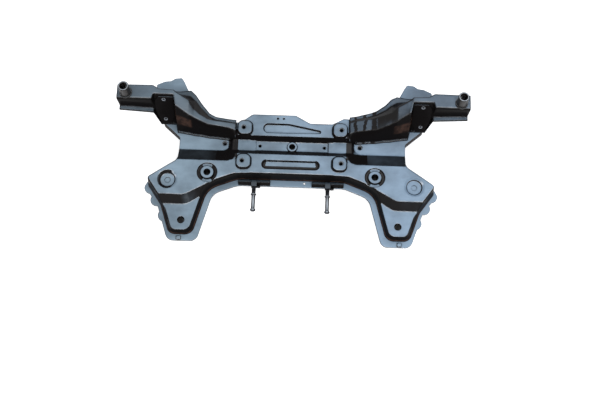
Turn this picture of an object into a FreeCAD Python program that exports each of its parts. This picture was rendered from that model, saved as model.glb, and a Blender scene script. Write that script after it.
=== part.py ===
import FreeCAD, Part
import math
import os
import Sketcher
from FreeCAD import Placement, Rotation, Vector

# Front subframe of a compact car, welded from steel pressings.
# +X is to the right, +Y to the front of the vehicle and +Z up, in millimetres.
# The origin is on the floor under the middle of the subframe's box. Outlines are
# dimensioned from the middle of the rack valley, datum_y in front of or behind it.

os.makedirs("parts", exist_ok=True)
doc = FreeCAD.newDocument("subframe")

DIMENSIONS = [
    ("datum_y", 17.1, "rack datum to the middle of the box"),
    ("gauge", 2.6, "sheet thickness of the pressings"),
    ("level_flange", 30.0, "top of the weld flange"),
    ("level_wing", 50.0, "floor of the wing valleys"),
    ("level_rack", 60.0, "floor of the rack valley"),
    ("level_lobe", 62.0, "rear body-mount lobes"),
    ("level_deck", 80.0, "main deck"),
    ("level_pad", 90.0, "steering-gear pads"),
    ("level_horn_flange", 98.0, "horn weld flange"),
    ("level_horn", 150.0, "top of the horns at the tip"),
    ("bend", 6.0, "outside radius of the bend round the deck"),
    ("gear_span", 262.0, "steering-gear holes, across"),
    ("gear_pitch", 95.0, "steering-gear holes, front to rear"),
    ("gear_front", 68.0, "front steering-gear holes"),
    ("gear_hole", 6.5, "radius"),
    ("wing_hole_x", 182.0, "hole in each wing valley"),
    ("wing_hole_y", 34.5, "hole in each wing valley"),
    ("wing_hole", 6.7, "radius"),
    ("rack_hole_x", 86.5, "small holes in the rack valley"),
    ("rack_hole_y", 26.2, "small holes in the rack valley"),
    ("rack_hole", 4.0, "radius"),
    ("collar_x", 221.7, "rear arm collar"),
    ("collar_y", -60.0, "rear arm collar"),
    ("collar_outer", 18.0, "radius"),
    ("collar_bore", 9.25, "radius"),
    ("collar_recess", 26.5, "radius of the recess round the collar"),
    ("recess_depth", 5.0, "depth of the recess round the collar"),
    ("pivot_x", 325.7, "front arm pivot"),
    ("pivot_y", -82.0, "front arm pivot"),
    ("pivot_dimple", 27.0, "radius at the deck"),
    ("pivot_seat", 17.0, "radius at the bottom of the dimple"),
    ("pivot_depth", 9.0, "depth of the dimple"),
    ("pivot_bore", 7.5, "radius"),
    ("mount_x", 284.0, "rear body mount"),
    ("mount_y", -188.0, "rear body mount"),
    ("mount_bore", 9.2, "radius"),
    ("mount_sleeve", 15.0, "radius"),
    ("drain_x", 60.0, "drain holes in the floor"),
    ("drain_hole", 6.0, "radius"),
    ("centre_y", 25.7, "centre collar"),
    ("centre_outer", 14.0, "radius"),
    ("centre_bore", 7.0, "radius"),
    ("tube_x", 442.0, "front body-mount tube"),
    ("tube_y", 130.0, "front body-mount tube"),
    ("tube_outer", 14.0, "radius"),
    ("tube_bore", 9.0, "radius"),
    ("tube_height", 42.0, "height above the horn"),
    ("seat_outer", 17.0, "radius"),
    ("seat_height", 4.0, "height above the horn"),
    ("gusset_gauge", 3.0, "plate thickness"),
    ("gusset_hole", 3.5, "radius"),
    ("gusset_x", 343.5, "middle of the gusset plate"),
    ("gusset_width", 52.0, "gusset plate, across"),
    ("gusset_height", 98.0, "gusset plate, up its slope"),
    ("tab_hole_x", -33.0, "middle of the two small holes in the front tab"),
    ("tab_hole_y", 99.0, "small holes in the front tab"),
    ("tab_hole_pitch", 16.0, "small holes in the front tab"),
    ("tab_hole", 2.6, "radius"),
    ("flange_hole_x", 36.0, "small hole in the rear flange"),
    ("flange_hole_y", -66.0, "small hole in the rear flange"),
    ("nut_across", 19.0, "across flats"),
    ("nut_height", 10.0, "weld nuts"),
    ("nut_bore", 5.2, "radius"),
    ("rod_x", 98.5, "hanger rod"),
    ("rod_radius", 4.8, "radius"),
    ("rod_length", 68.0, "from the bracket to the tip"),
    ("rod_collar", 7.0, "radius"),
    ("rod_tip", 7.5, "radius"),
    ("bracket_length", 86.0, "clamp bar on the rear flange"),
    ("bracket_height", 9.0, "clamp bar"),
    ("bracket_depth", 10.0, "clamp bar"),
]


def make_sheet():
    """Spreadsheet with one driving dimension a row and its name as the alias."""
    sheet = doc.addObject("Spreadsheet::Sheet", "sizes")
    for row, (alias, number, note) in enumerate(DIMENSIONS, start=1):
        sheet.set("A%d" % row, alias)
        sheet.set("B%d" % row, str(number))
        sheet.set("C%d" % row, note)
        sheet.setAlias("B%d" % row, alias)
    doc.recompute()
    return sheet


sheet = make_sheet()


def size(alias):
    return float(sheet.get(alias))


GAUGE = size("gauge")
FLANGE = size("level_flange")
WING = size("level_wing")
RACK = size("level_rack")
LOBE = size("level_lobe")
DECK = size("level_deck")
PAD = size("level_pad")
HORN_FLANGE = size("level_horn_flange")
HORN_TOP = size("level_horn")
CLEAR = 4.0
SMALLEST_ROUND = 0.8
SAME_LEVEL = 0.01
FULL_TURN = 360.0


# Outlines


def mirror_corners(corners):
    """The same outline on the other side of the car, still counter-clockwise."""
    return [(-x, y, r) for x, y, r in reversed(corners)]


def shift_sides(corners, moves):
    """Moves each side of a closed outline to its left and keeps the corners round."""
    count = len(corners)
    if not isinstance(moves, (list, tuple)):
        moves = [moves] * count
    sides = []
    for i, (x, y, r) in enumerate(corners):
        x2, y2, r2 = corners[(i + 1) % count]
        length = math.hypot(x2 - x, y2 - y)
        ux, uy = (x2 - x) / length, (y2 - y) / length
        sides.append((x - uy * moves[i], y + ux * moves[i], ux, uy))
    moved = []
    for i in range(count):
        ax, ay, aux, auy = sides[i - 1]
        bx, by, bux, buy = sides[i]
        turn = aux * buy - auy * bux
        along = ((bx - ax) * buy - (by - ay) * bux) / turn
        change = 0.5 * (moves[i - 1] + moves[i])
        radius = corners[i][2]
        if radius:
            radius = max(radius - change * math.copysign(1.0, turn), SMALLEST_ROUND)
        moved.append((ax + aux * along, ay + auy * along, radius))
    return moved


def round_wire(corners, place):
    """Closed wire, round at each corner with a radius; place makes a point from u and v."""
    count = len(corners)
    arcs = []
    for i, (x, y, r) in enumerate(corners):
        px, py = corners[i - 1][:2]
        nx, ny = corners[(i + 1) % count][:2]
        if r == 0:
            arcs.append(((x, y), None, (x, y)))
            continue
        before = math.atan2(y - py, x - px)
        after = math.atan2(ny - y, nx - x)
        turn = (after - before + math.pi) % (2 * math.pi) - math.pi
        reach = r * math.tan(abs(turn) / 2)
        start = (x - reach * math.cos(before), y - reach * math.sin(before))
        end = (x + reach * math.cos(after), y + reach * math.sin(after))
        inward = before + turn / 2 + math.copysign(math.pi / 2, turn)
        depth = r / math.cos(turn / 2) - r
        middle = (x + depth * math.cos(inward), y + depth * math.sin(inward))
        arcs.append((start, middle, end))
    edges = []
    for i, (start, middle, end) in enumerate(arcs):
        last_end = arcs[i - 1][2]
        edges.append(Part.makeLine(place(*last_end), place(*start)))
        if middle:
            edges.append(Part.Arc(place(*start), place(*middle), place(*end)).toShape())
    return Part.Wire(edges)


def flat_wire(corners, z):
    return round_wire(corners, lambda u, v: Vector(u, v, z))


def cross_wire(corners, x):
    return round_wire(corners, lambda u, v: Vector(x, u, v))


# Building blocks


def wire_object(name, wire):
    helper = doc.addObject("Part::Feature", name)
    helper.Shape = wire
    return helper


def loft(name, wires):
    """Ruled solid through closed wires that have the same corners."""
    solid = doc.addObject("Part::Loft", name)
    solid.Sections = [wire_object("%s_wire%d" % (name, i), w) for i, w in enumerate(wires)]
    solid.Solid = True
    solid.Ruled = True
    return solid


def slab(name, corners, bottom, top):
    return loft(name, [flat_wire(corners, bottom), flat_wire(corners, top)])


def drafted(name, low_corners, low, high_corners, high, top):
    """Loft through two outlines, carried on in the same slope to the level top."""
    share = (top - low) / (high - low)
    top_corners = []
    for (ax, ay, ar), (bx, by, br) in zip(low_corners, high_corners):
        radius = ar + (br - ar) * share
        if ar:
            radius = max(radius, SMALLEST_ROUND)
        top_corners.append((ax + (bx - ax) * share, ay + (by - ay) * share, radius))
    return loft(name, [flat_wire(low_corners, low), flat_wire(top_corners, top)])


def rounded(name, base, level, radius):
    """Rounds every edge of a solid that lies flat at a level."""
    doc.recompute()
    bend = doc.addObject("Part::Fillet", name)
    bend.Base = base
    flat = [
        (number, radius, radius)
        for number, edge in enumerate(base.Shape.Edges, start=1)
        if all(abs(point.Z - level) < SAME_LEVEL for point in edge.Vertexes)
    ]
    bend.Edges = flat
    return bend


def cut(name, base, tool):
    result = doc.addObject("Part::Cut", name)
    result.Base = base
    result.Tool = tool
    return result


def fuse(name, shapes):
    result = doc.addObject("Part::MultiFuse", name)
    result.Shapes = shapes
    return result


def bind(thing, **expressions):
    for name, expression in expressions.items():
        thing.setExpression(name.replace("__", "."), expression)


def cylinder(name, radius, height, x, y, z):
    """Upright cylinder whose radius, height and place are expressions or numbers."""
    thing = doc.addObject("Part::Cylinder", name)
    bind(thing, Radius=str(radius), Height=str(height))
    bind(thing, Placement__Base__x=str(x), Placement__Base__y=str(y), Placement__Base__z=str(z))
    return thing


def finish(thing, label, x="0", y="0", z="0"):
    """Names a finished sub-part and moves it from the rack datum to the box's middle."""
    thing.Label = label
    bind(thing, Placement__Base__x=x, Placement__Base__z=z)
    bind(thing, Placement__Base__y="sizes.datum_y + (%s)" % y)
    finished.append(thing)
    return thing


finished = []
SIDES = [("left", -1), ("right", 1)]
SIDE_NAMES = {-1: "left", 1: "right"}


# Layout of the upper panel

# Foot of the wall, right half from the rear middle to the wing: x, y, corner radius
# and, last, how far the side that starts there leans in up to the deck.
FOOT_RIGHT = [
    (140, -60, 80, 3),
    (222, -92, 55, 12),
    (256, -219, 26, 7),
    (318, -219, 24, 19),
    (345, -140, 40, 7),
    (388, -79, 13, 3),
    (335, -42, 30, 3),
    (305, -22, 18, 2),
    (305, 47, 10, 2),
    (352, 88, 10, 2),
    (350, 148, 14, 2),
    (286, 150, 16, 2),
]
FRONT_RIGHT = [(230, 114, 20, 2), (160, 107, 12, 2), (136, 108, 10, 2)]
FRONT_MIDDLE = [
    (106, 91, 14, 2),
    (47, 91, 14, 2),
    (8, 113, 14, 2),
    (-110, 113, 14, 2),
    (-142, 88, 14, 2),
]
FRONT_LEFT = [(-230, 88, 30, 2)]
REAR_LEAN = 1.0

# Inside radius of the bends along the floors of the wing valleys
VALLEY_BEND = 5.0

# Rack valley: depth y and level of its edges, from rear top to front top
RACK_REAR_TOP = -4.0
RACK_REAR_FOOT = 14.0
RACK_FRONT_FOOT = 40.0
RACK_FRONT_TOP = 49.0
RACK_BEND = 5.0
# Outboard of a small step, the rack valley's floor lies a little higher
RACK_STEP_X = 95.0
RACK_STEP_WIDTH = 3.0
RACK_STEP_RISE = 2.5

# Wing valley, right side: its inner and rear edges on the floor and at the deck
WING_INNER_FOOT = 167.0
WING_INNER_TOP = 150.0
WING_REAR_FOOT = 15.0
WING_REAR_TOP = -27.0
WING_CORNER = 22.0
WING_OUTSIDE = 430.0
WING_FRONT = 230.0

# Step down to the rear lobe: edge on the lobe and edge at the deck
STEP_LOW = [(205, -101, 0), (272, -146, 40), (430, -146, 0)]
STEP_HIGH = [(205, -80, 0), (279, -122, 40), (430, -121, 0)]
STEP_REAR = -330.0

BEAD_SLOPE = 6.0
BEAD_DEPTH = 6.0
FRONT_BEAD = [(-79, 57, 13.5), (-10, 57, 40), (76, 59, 4), (76, 68, 4), (-10, 85, 40), (-79, 85, 13.5)]
REAR_BEAD = [(-78, -44, 11.5), (74, -44, 11.5), (74, -20, 11.5), (-78, -20, 11.5)]

# Steering-gear pads: the outboard side leans with the step wall beside it
PAD_LEFT_OF_HOLE = 20.0
PAD_OUTBOARD = 14.0
PAD_BACK = 17.0
PAD_SLOPE = 11.0
PAD_CORNER = 12.0
PAD_BEND = 4.0


def foot_outline():
    """Closed outline of the wall's foot, and how far each side leans in."""
    right = FOOT_RIGHT + FRONT_RIGHT
    left_points = [(-x, y, r) for x, y, r, lean in reversed(FOOT_RIGHT)]
    left_leans = [lean for x, y, r, lean in reversed(FOOT_RIGHT)][1:] + [REAR_LEAN]
    corners = [row[:3] for row in right + FRONT_MIDDLE + FRONT_LEFT] + left_points
    leans = [row[3] for row in right + FRONT_MIDDLE + FRONT_LEFT] + left_leans
    return corners, leans


def block(tag, inset):
    """Drafted block from the flange up to the deck, inside the foot outline."""
    corners, leans = foot_outline()
    low = shift_sides(corners, inset)
    high = shift_sides(corners, [inset + lean for lean in leans])
    bottom = FLANGE - (CLEAR if inset else 0.0)
    share = (FLANGE - bottom) / (DECK - FLANGE)
    low = shift_sides(low, [-lean * share for lean in leans])
    solid = loft("block" + tag, [flat_wire(low, bottom), flat_wire(high, DECK - inset)])
    return rounded("bent_block" + tag, solid, DECK - inset, size("bend") - inset)


def wing_cut(tag, side, inset):
    """Space above a wing valley, ahead of the deck and outboard of the rack block."""
    floor = WING - inset
    deck = DECK - inset
    low = [
        (WING_INNER_FOOT - inset, WING_REAR_FOOT - inset, WING_CORNER),
        (WING_OUTSIDE, WING_REAR_FOOT - inset, 0),
        (WING_OUTSIDE, WING_FRONT, 0),
        (WING_INNER_FOOT - inset, WING_FRONT, 0),
    ]
    high = [
        (WING_INNER_TOP - inset, WING_REAR_TOP - inset, WING_CORNER),
        (WING_OUTSIDE, WING_REAR_TOP - inset, 0),
        (WING_OUTSIDE, WING_FRONT, 0),
        (WING_INNER_TOP - inset, WING_FRONT, 0),
    ]
    if side < 0:
        low = mirror_corners(low)
        high = mirror_corners(high)
    name = "wing%s_%s" % (tag, SIDE_NAMES[side])
    solid = drafted(name, low, floor, high, deck, deck + CLEAR)
    return rounded("bent_" + name, solid, floor, VALLEY_BEND + inset)


def lobe_cut(tag, side, inset):
    """Space above a rear lobe, behind its curved step."""
    low = shift_sides(close_step(STEP_LOW), [-inset] * 5)
    high = shift_sides(close_step(STEP_HIGH), [-inset] * 5)
    if side < 0:
        low = mirror_corners(low)
        high = mirror_corners(high)
    lobe = LOBE - inset
    deck = DECK - inset
    return drafted("lobe%s_%s" % (tag, SIDE_NAMES[side]), low, lobe, high, deck, deck + CLEAR)


def close_step(edge):
    """Counter-clockwise outline behind a step edge that runs outboard."""
    return [(edge[0][0], STEP_REAR, 0), (edge[2][0], STEP_REAR, 0)] + list(reversed(edge))


def rack_cut(tag, inset):
    """Trough across the rack block, sloping up to the deck front and rear."""
    outer = RACK_STEP_X + RACK_STEP_WIDTH
    stations = [
        (-WING_INNER_FOOT, RACK_STEP_RISE),
        (-outer, RACK_STEP_RISE),
        (-RACK_STEP_X, 0.0),
        (RACK_STEP_X, 0.0),
        (outer, RACK_STEP_RISE),
        (WING_INNER_FOOT, RACK_STEP_RISE),
    ]
    wires = [cross_wire(shift_sides(rack_section(rise), -inset), x) for x, rise in stations]
    return loft("rack" + tag, wires)


def rack_section(rise):
    """Cross-section of the trough with its floor raised, in the same slopes."""
    rear_lean = (RACK_REAR_FOOT - RACK_REAR_TOP) / (DECK - RACK)
    front_lean = (RACK_FRONT_TOP - RACK_FRONT_FOOT) / (DECK - RACK)
    top = DECK + CLEAR
    above = top - RACK
    return [
        (RACK_REAR_FOOT - rear_lean * rise, RACK + rise, RACK_BEND),
        (RACK_FRONT_FOOT + front_lean * rise, RACK + rise, RACK_BEND),
        (RACK_FRONT_FOOT + front_lean * above, top, 0),
        (RACK_REAR_FOOT - rear_lean * above, top, 0),
    ]


def bead_cut(name, corners, inset):
    """Shallow pressed bead: wide at the deck, narrower at its floor."""
    mouth = shift_sides(corners, -inset)
    floor = shift_sides(mouth, BEAD_SLOPE * 0.5)
    deck = DECK - inset
    return drafted(name, floor, deck - BEAD_DEPTH, mouth, deck, deck + CLEAR * 0.5)


def pad_boss(tag, side, y, inset):
    """Raised steering-gear pad, from under the deck up to the pad level."""
    x = size("gear_span") / 2
    top = [
        (x - PAD_LEFT_OF_HOLE, y - PAD_BACK, PAD_CORNER),
        (x + PAD_OUTBOARD, y - PAD_BACK, PAD_CORNER),
        (x + PAD_OUTBOARD, y + PAD_BACK, PAD_CORNER),
        (x - PAD_LEFT_OF_HOLE, y + PAD_BACK, PAD_CORNER),
    ]
    slopes = [-PAD_SLOPE, -PAD_SLOPE * 0.5, -PAD_SLOPE, -PAD_SLOPE]
    base = shift_sides(top, slopes)
    top = shift_sides(top, inset)
    base = shift_sides(base, inset)
    if side < 0:
        top = mirror_corners(top)
        base = mirror_corners(base)
    low = DECK - GAUGE - CLEAR
    name = "pad%s_%s" % (tag, SIDE_NAMES[side])
    solid = loft(name, [flat_wire(base, low), flat_wire(top, PAD - inset)])
    return rounded("bent_" + name, solid, PAD - inset, PAD_BEND - inset)


def collar_recess(tag, side, inset):
    """Round recess about the rear arm collar."""
    x = "%d * sizes.collar_x" % side
    radius = "sizes.collar_recess + %g" % inset
    bottom = "sizes.level_deck - sizes.recess_depth - %g" % inset
    return cylinder("recess%s%d" % (tag, side), radius, 20, x, "sizes.collar_y", bottom)


def pivot_dimple(tag, side, inset):
    """Conical dimple about the front arm pivot."""
    cone = doc.addObject("Part::Cone", "dimple%s%d" % (tag, side))
    rise = "(sizes.pivot_dimple - sizes.pivot_seat) / sizes.pivot_depth"
    bind(cone, Radius1="sizes.pivot_seat + %g" % inset, Height="sizes.pivot_depth + %g" % CLEAR)
    bind(cone, Radius2="sizes.pivot_dimple + %g + %g * %s" % (inset, CLEAR, rise))
    bind(cone, Placement__Base__x="%d * sizes.pivot_x" % side, Placement__Base__y="sizes.pivot_y")
    bind(cone, Placement__Base__z="sizes.level_deck - sizes.pivot_depth - %g" % inset)
    return cone


def envelope(tag, inset):
    """Solid under the upper panel's skin; the inset one lies a gauge further in."""
    hollows = [rack_cut(tag, inset)]
    bosses = []
    gear_rows = [size("gear_front"), size("gear_front") - size("gear_pitch")]
    for name, side in SIDES:
        hollows += [wing_cut(tag, side, inset), lobe_cut(tag, side, inset)]
        hollows += [collar_recess(tag, side, inset), pivot_dimple(tag, side, inset)]
        bosses += [pad_boss(tag, side, y, inset) for y in gear_rows]
    hollows.append(bead_cut("front_bead" + tag, FRONT_BEAD, inset))
    hollows.append(bead_cut("rear_bead" + tag, REAR_BEAD, inset))
    hollow = fuse("hollows" + tag, hollows)
    carved = cut("carved" + tag, block(tag, inset), hollow)
    return fuse("skin" + tag, [carved] + bosses)


def upper_holes():
    """Round holes through the upper panel."""
    tall = PAD
    holes = []
    for name, side in SIDES:
        gear_x = "%d * sizes.gear_span / 2" % side
        for row in ("0", "sizes.gear_pitch"):
            y = "sizes.gear_front - %s" % row
            holes.append(cylinder("gear_hole", "sizes.gear_hole", tall, gear_x, y, FLANGE))
        places = [
            ("sizes.wing_hole", "sizes.wing_hole_x", "sizes.wing_hole_y"),
            ("sizes.rack_hole", "sizes.rack_hole_x", "sizes.rack_hole_y"),
            ("sizes.collar_outer", "sizes.collar_x", "sizes.collar_y"),
            ("sizes.pivot_bore", "sizes.pivot_x", "sizes.pivot_y"),
            ("sizes.mount_bore", "sizes.mount_x", "sizes.mount_y"),
        ]
        for radius, x, y in places:
            holes.append(cylinder("hole", radius, tall, "%d * %s" % (side, x), y, FLANGE))
    holes.append(cylinder("hole", "sizes.centre_outer", tall, 0, "sizes.centre_y", FLANGE))
    for offset in ("-", "+"):
        x = "sizes.tab_hole_x %s sizes.tab_hole_pitch / 2" % offset
        holes.append(cylinder("tab_hole", "sizes.tab_hole", tall, x, "sizes.tab_hole_y", FLANGE))
    return fuse("upper_holes", holes)


def upper_panel():
    """Pressed upper panel: the skin less the same skin a gauge further in."""
    pressing = cut("upper_sheet", envelope("_out", 0.0), envelope("_in", GAUGE))
    return finish(cut("upper_panel", pressing, upper_holes()), "upper_panel")


# Layout of the lower panel

# How far each side of its flange lies outside the foot of the upper panel's wall
FLANGE_RIGHT = [16, 16, 17, 8, 8, 2, 1, 1, 1, 1, 3, 6]
FLANGE_FRONT = [6, 6, 6, 6, 6, 6, 6, 6, 6]
FLANGE_REAR = 18
LOBE_END = -225.0
LOBE_CORNER = 22.0
SCALLOP = 17.0
SCALLOPS = [(375, -92), (356, -126), (333, -168), (311, -207)]
TRAY_MOUTH = 7.0
TRAY_FLOOR = 12.0
LOBE_BEAD = [(283, -235, 3), (299, -235, 3), (299, -221, 3), (283, -221, 3)]
LOBE_BEAD_RISE = 3.0
LOBE_BEAD_SLOPE = 2.5


def lower_flange():
    """Flange all round, with scallops along the outside of each rear lobe."""
    corners, leans = foot_outline()
    left = list(reversed(FLANGE_RIGHT))[1:] + [FLANGE_REAR]
    middle = FLANGE_FRONT[: len(corners) - len(FLANGE_RIGHT) - len(left)]
    outline = shift_sides(corners, [-move for move in FLANGE_RIGHT + middle + left])
    outline = [(x, y, min(r, LOBE_CORNER) if y < LOBE_END else r) for x, y, r in outline]
    pieces = [slab("flange_sheet", outline, FLANGE - GAUGE, FLANGE)]
    for name, side in SIDES:
        for x, y in SCALLOPS:
            low = "sizes.level_flange - sizes.gauge"
            pieces.append(cylinder("scallop", SCALLOP, "sizes.gauge", side * x, y, low))
    return fuse("lower_flange", pieces)


def tray(tag, inset):
    """Solid between the flange and the floor under the upper panel."""
    corners, leans = foot_outline()
    mouth = shift_sides(corners, TRAY_MOUTH + inset)
    floor = shift_sides(corners, TRAY_FLOOR + inset)
    return drafted("tray" + tag, floor, inset, mouth, FLANGE, FLANGE + (CLEAR if inset else 0.0))


def lobe_bead(side, drop):
    """Small pressed bead across the flange behind each rear lobe."""
    low = LOBE_BEAD if side > 0 else mirror_corners(LOBE_BEAD)
    high = shift_sides(low, LOBE_BEAD_SLOPE)
    base = FLANGE - drop - (GAUGE * 0.5 if drop else GAUGE)
    top = FLANGE - drop + LOBE_BEAD_RISE
    return loft("lobe_bead", [flat_wire(low, base), flat_wire(high, top)])


def lower_holes():
    """Bolt and drain holes through the floor of the lower panel."""
    holes = []
    places = [
        ("sizes.collar_bore", "sizes.collar_x", "sizes.collar_y"),
        ("sizes.pivot_bore", "sizes.pivot_x", "sizes.pivot_y"),
        ("sizes.mount_bore", "sizes.mount_x", "sizes.mount_y"),
        ("sizes.wing_hole + 6", "sizes.wing_hole_x", "sizes.wing_hole_y"),
        ("sizes.drain_hole", "sizes.drain_x", "sizes.centre_y"),
    ]
    for name, side in SIDES:
        for radius, x, y in places:
            holes.append(cylinder("floor_hole", radius, 12, "%d * %s" % (side, x), y, -CLEAR))
    holes.append(cylinder("floor_hole", "sizes.centre_bore", 12, 0, "sizes.centre_y", -CLEAR))
    flange_place = ("sizes.flange_hole_x", "sizes.flange_hole_y", "sizes.level_flange - 6")
    holes.append(cylinder("flange_hole", "sizes.tab_hole", 12, *flange_place))
    return fuse("lower_holes", holes)


def lower_panel():
    """Pressed lower panel: a tray with a wide scalloped flange."""
    beads = [lobe_bead(side, 0.0) for name, side in SIDES]
    hollows = [tray("_in", GAUGE), lower_holes()]
    hollows += [lobe_bead(side, GAUGE) for name, side in SIDES]
    whole = fuse("lower_whole", [lower_flange(), tray("_out", 0.0)] + beads)
    return finish(cut("lower_panel", whole, fuse("lower_hollows", hollows)), "lower_panel")


# Horns

HORN_END = size("tube_x") + 24.0
ON_WING = WING + GAUGE
UNDER_FLANGE = HORN_FLANGE - GAUGE

# Upper pressing: a hat section at each station x. Its corners from the rear are the
# flange's edge, foot, top, front top, front foot and the front flange's edge. Then
# come the levels of the rear foot, the two tops and the front foot, and the bend
# radii at the feet and at the tops.
TIP_LEVELS = (HORN_FLANGE, HORN_TOP, HORN_TOP, HORN_FLANGE)
HORN_OUTER = [
    (HORN_END, (104, 116, 113, 155, 158, 168), TIP_LEVELS, 3, 6),
    (374, (99, 112, 114, 156, 159, 169), TIP_LEVELS, 3, 6),
    (370, (95.5, 106.1, 130, 154, 158, 168), (DECK + 7.3, HORN_TOP - 0.5, HORN_TOP, HORN_FLANGE), 2, 5),
    (357, (84, 87, 130, 146, 155, 165), (ON_WING, HORN_TOP - 1, HORN_TOP - 0.5, HORN_FLANGE), 1, 5),
    (317, (84, 87, 130, 144, 152, 161), (ON_WING, HORN_TOP - 1, HORN_TOP - 1, HORN_FLANGE), 1, 5),
    (311, (60, 65, 101, 139, 152, 161), (ON_WING, DECK + 64, DECK + 67, HORN_FLANGE), 1.5, 6),
    (303, (59, 64, 97, 134, 151, 161), (ON_WING, DECK + 60, DECK + 65, HORN_FLANGE), 1.5, 6),
    (277, (55, 60, 82, 120, 148, 165), (ON_WING, DECK + 48, DECK + 56, HORN_FLANGE), 1.5, 6),
]
HORN_INNER_LEFT = [
    (262, (52, 57, 77, 100, 136, 151), (ON_WING, DECK + 41, DECK + 43, DECK + 17), 1.5, 5),
    (247, (51, 56, 72, 89, 118, 130), (ON_WING, DECK + 35, DECK + 35, DECK + 14), 1.5, 4),
    (224, (47, 52, 66, 80, 96, 104), (ON_WING, DECK + 25, DECK + 24, DECK + 8), 1.5, 3.5),
    (207, (46, 51, 66, 79, 88, 96), (ON_WING, DECK + 20, DECK + 19, DECK + 5), 1.5, 3.5),
    (171, (42, 47, 64, 78, 84, 91), (ON_WING, DECK + 12, DECK + 11, DECK + 4), 1.5, 3.5),
    (152, (42, 47, 60, 76, 83, 90), (DECK - 0.6, DECK + 7, DECK + 7, DECK + 3), 1.5, 3.5),
]
HORN_INNER_RIGHT = [
    (262, (52, 57, 77, 107, 140, 158), (ON_WING, DECK + 41, DECK + 45, DECK + 17), 1.5, 5),
    (247, (51, 56, 72, 104, 128, 142), (ON_WING, DECK + 35, DECK + 36, DECK + 14), 1.5, 4),
    (224, (47, 52, 66, 101, 117, 127), (ON_WING, DECK + 25, DECK + 24, DECK + 8), 1.5, 3.5),
    (207, (46, 51, 66, 98, 112, 121), (ON_WING, DECK + 20, DECK + 18, DECK + 5), 1.5, 3.5),
    (171, (42, 47, 64, 94, 104, 111), (ON_WING, DECK + 12, DECK + 11, DECK + 4), 1.5, 3.5),
    (152, (42, 47, 60, 88, 99, 108), (DECK - 0.6, DECK + 7, DECK + 7, DECK + 3), 1.5, 3.5),
]

# Lower pressing, upper surface: an open channel out to the tip. Its corners from the
# rear are the flange's edge, rear top, rear foot, front foot, front top and edge.
# Then come the levels of the rear flange, the floor and the front flange.
CHANNEL = [
    (HORN_END, (104, 119, 124, 147, 151, 168), (UNDER_FLANGE, DECK - 8, UNDER_FLANGE), 3),
    (374, (99, 117, 122, 149, 153, 169), (UNDER_FLANGE, DECK - 14, UNDER_FLANGE), 3),
    (359, (88, 94, 100, 138, 149, 165), (ON_WING + GAUGE, ON_WING, UNDER_FLANGE), 1),
]
# Inboard of the channel, a wall whose foot stands on the upper panel: the foot's
# edge, foot, top and flange's edge, and the level of the horn's flange above it.
WALL_OUTER = [
    (359, (118, 138, 149, 165), HORN_FLANGE),
    (303, (117, 136, 146, 161), HORN_FLANGE),
    (277, (112, 130, 143, 165), HORN_FLANGE),
]
WALL_INNER_LEFT = [
    (262, (100, 118, 131, 151), DECK + 17),
    (247, (82, 100, 113, 130), DECK + 14),
    (224, (64, 80, 91, 104), DECK + 8),
    (207, (60, 76, 83, 96), DECK + 5),
    (171, (58, 74, 79, 91), DECK + 4),
]
WALL_INNER_RIGHT = [
    (262, (104, 122, 135, 158), DECK + 17),
    (247, (96, 114, 123, 142), DECK + 14),
    (224, (88, 104, 112, 127), DECK + 8),
    (207, (84, 100, 107, 121), DECK + 5),
    (171, (80, 94, 99, 111), DECK + 4),
]
WALL_BEND = 3.0
APRON = [
    (274, 144, 1),
    (372, 146, 1),
    (371, 180, 6),
    (350, 190, 8),
    (334, 192, 12),
    (322, 200, 6),
    (305, 202, 5),
    (297, 190, 8),
]


def sheet_corners(path):
    """Closed outline of a folded sheet: its upper surface and a gauge below it."""
    flat = [(path[0][0], path[0][1])]
    below = []
    last = len(path) - 1
    for i, (y, z, r) in enumerate(path):
        before = path[max(i - 1, 0)]
        after = path[min(i + 1, last)]
        into = math.atan2(z - before[1], y - before[0]) if i > 0 else None
        out = math.atan2(after[1] - z, after[0] - y) if i < last else None
        into = out if into is None else into
        out = into if out is None else out
        half = (out - into) / 2
        normal = (into + out) / 2 - math.pi / 2
        reach = GAUGE / math.cos(half)
        radius = r + GAUGE if half > 0 else r - GAUGE
        if i in (0, last):
            radius = 0
        below.append((y + reach * math.cos(normal), z + reach * math.sin(normal), radius))
    ends = [(path[0][0], path[0][1], 0)] + list(path[1:-1]) + [(path[-1][0], path[-1][1], 0)]
    return list(reversed(ends)) + below


def hat_wire(row, side):
    x, places, levels, foot, top = row
    rear, rear_top, front_top, front = levels
    heights = (rear, rear, rear_top, front_top, front, front)
    return cross_wire(sheet_corners(list(zip(places, heights, (0, foot, top, top, foot, 0)))), side * x)


def channel_wire(row, side):
    x, places, levels, top = row
    rear, floor, front = levels
    heights = (rear, rear, floor, floor, front, front)
    bends = (0, top + GAUGE, WALL_BEND, WALL_BEND, top + GAUGE, 0)
    return cross_wire(sheet_corners(list(zip(places, heights, bends))), side * x)


def wall_wire(row, side):
    x, places, flange = row
    heights = (ON_WING, ON_WING, flange - GAUGE, flange - GAUGE)
    bends = (0, WALL_BEND, WALL_BEND + GAUGE, 0)
    return cross_wire(sheet_corners(list(zip(places, heights, bends))), side * x)


def tube_place(side):
    return "%d * sizes.tube_x" % side, "sizes.tube_y"


def horn_upper(name, side, inner_rows):
    """Hat-section pressing that rises from the wing valley out to the tip."""
    rows = HORN_OUTER + inner_rows
    shell = loft(name + "_horn_shell", [hat_wire(row, side) for row in rows])
    x, y = tube_place(side)
    hole = cylinder("tip_hole", "sizes.tube_bore + 1.5", 40, x, y, "sizes.level_horn - 20")
    return finish(cut(name + "_horn_upper", shell, hole), name + "_horn_upper")


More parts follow.
